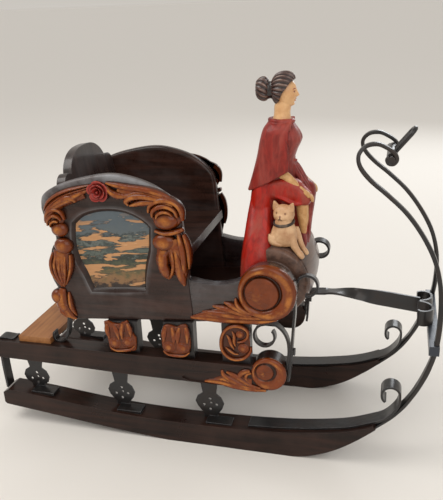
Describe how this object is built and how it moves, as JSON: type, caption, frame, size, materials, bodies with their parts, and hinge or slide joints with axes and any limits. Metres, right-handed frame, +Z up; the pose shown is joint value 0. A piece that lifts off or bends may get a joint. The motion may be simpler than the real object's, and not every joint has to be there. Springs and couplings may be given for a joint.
{
  "type": "wooden sled",
  "caption": "Carved wooden sleigh in small scale with iron horns, straps and scrollwork, an open seat box, and a seated painted figure with a cat on its front roll.",
  "frame": {"origin": "centre of the sleigh's length and width on the floor", "axes": "+X forward towards the horns, +Y to the sleigh's left, +Z up"},
  "size_m": [0.4421, 0.1466, 0.3567],
  "materials": {
    "dark_wood": "dark brown stain under a worn blue-grey varnish, half gloss",
    "carved_wood": "warm red-brown varnish, dark in the hollows, rubbed on the crests",
    "rose_wood": "thin matt rose-red paint, worn through on the petals' edges",
    "painted_wood": "thin painted scene, worn to bare timber in patches",
    "grey_wood": "weathered grey-brown timber with open grain",
    "honey_wood": "honey coloured bare plank, waxed",
    "dress": "matt red-orange paint over carved wood, chipped and brushed",
    "cape": "matt dusky rose-red paint over carved wood",
    "skin": "pale flesh paint over carved wood, satin",
    "hair": "dark brown painted strands",
    "shoe": "dark red painted shoes and stockings",
    "cat_coat": "cream to ginger painted coat",
    "iron": "forged black-brown iron, dull, lightly rusted"
  },
  "bodies": {
    "root": {"runner_left": "dark_wood", "runner_right": "dark_wood", "horn_left": "iron", "horn_right": "iron", "nose_strap_left": "iron", "nose_strap_right": "iron", "side_panel_left": "dark_wood", "side_panel_right": "dark_wood", "picture_board_left": "painted_wood", "picture_board_right": "painted_wood", "front_side_board_left": "dark_wood", "front_side_board_right": "dark_wood", "posts_left": "dark_wood", "posts_right": "dark_wood", "front_strap_left": "iron", "front_strap_right": "iron", "arc_strap_left": "iron", "arc_strap_right": "iron", "strap_bolt_left": "iron", "strap_bolt_right": "iron", "rail_left": "dark_wood", "rail_right": "dark_wood", "bracket_left": "iron", "bracket_right": "iron", "rear_strap_left": "iron", "rear_strap_right": "iron", "rear_loop_left": "iron", "rear_loop_right": "iron", "scroll_carving_left": "carved_wood", "scroll_carving_right": "carved_wood", "rail_carving_left": "carved_wood", "rail_carving_right": "carved_wood", "post_carving_left": "carved_wood", "post_carving_right": "carved_wood", "medallion_left": "carved_wood", "medallion_right": "carved_wood", "panel_carving_left": "carved_wood", "panel_carving_right": "carved_wood", "rose_left": "rose_wood", "rose_right": "rose_wood", "cross_bar": "iron", "stay": "iron", "roller": "iron", "hand_loop": "iron", "floor_board": "dark_wood", "back_board": "dark_wood", "front_roll": "grey_wood", "seat_board": "dark_wood", "foot_board": "honey_wood", "lady_skirt": "dress", "lady_cape": "cape", "lady_head": "skin", "lady_hair": "hair", "lady_arms": "skin", "lady_legs": "shoe", "cat": "cat_coat"}
  },
  "joints": []
}
